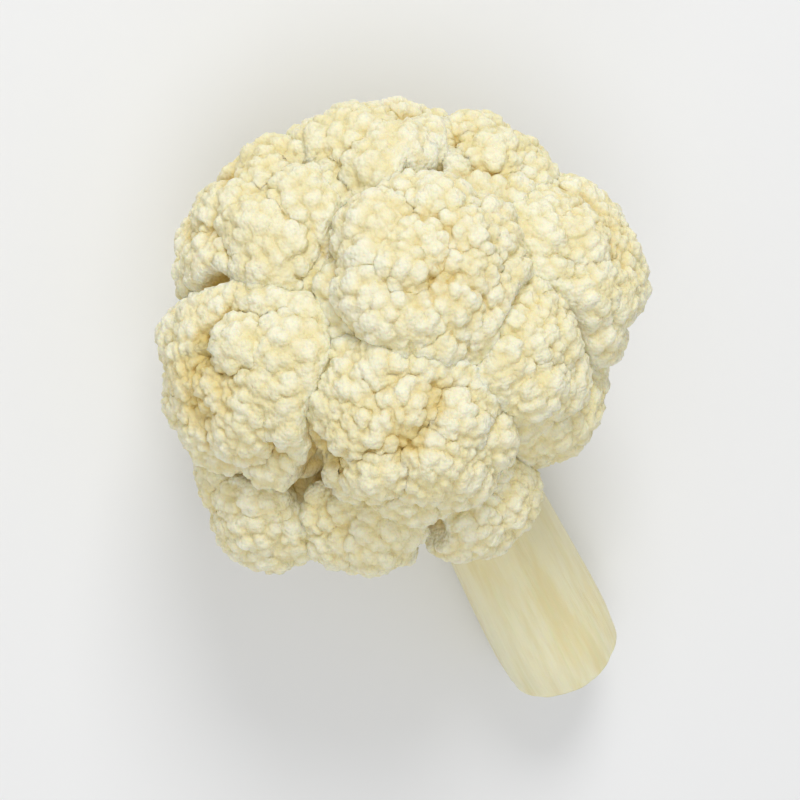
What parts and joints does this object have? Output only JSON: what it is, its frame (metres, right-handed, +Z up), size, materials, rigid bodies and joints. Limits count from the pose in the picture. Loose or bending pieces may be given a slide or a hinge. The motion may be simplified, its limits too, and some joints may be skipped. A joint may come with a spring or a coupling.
{
  "type": "cauliflower floret",
  "caption": "Single raw cauliflower floret broken from the head and lying on its side: a knobbly cream curd dome of side florets on a bent pale stem with a flat cut end.",
  "frame": {"origin": "on the ground, under the middle of the floret's bounding box as it lies", "axes": "+Z up, +Y along the lying floret from its crown to its cut stem end, +X across the curd head"},
  "size_m": [0.0448, 0.0638, 0.0407],
  "materials": {
    "curd": "dry, fine-grained, softly translucent cream curd",
    "stem": "smooth, faintly ribbed, waxy pale green-white stem with a moist cut face"
  },
  "bodies": {
    "root": {"main_stem": "stem", "crown_lobe_1": "curd", "crown_lobe_2": "curd", "crown_lobe_3": "curd", "shoulder_lobe_1": "curd", "shoulder_lobe_2": "curd", "shoulder_lobe_3": "curd", "shoulder_lobe_4": "curd", "shoulder_lobe_5": "curd", "shoulder_lobe_6": "curd", "rim_lobe_1": "curd", "rim_lobe_2": "curd", "rim_lobe_3": "curd", "rim_lobe_4": "curd", "rim_lobe_5": "curd", "rim_lobe_6": "curd", "under_lobe_1": "curd", "under_lobe_2": "curd", "under_lobe_3": "curd", "under_lobe_4": "curd", "under_lobe_5": "curd"}
  },
  "joints": []
}
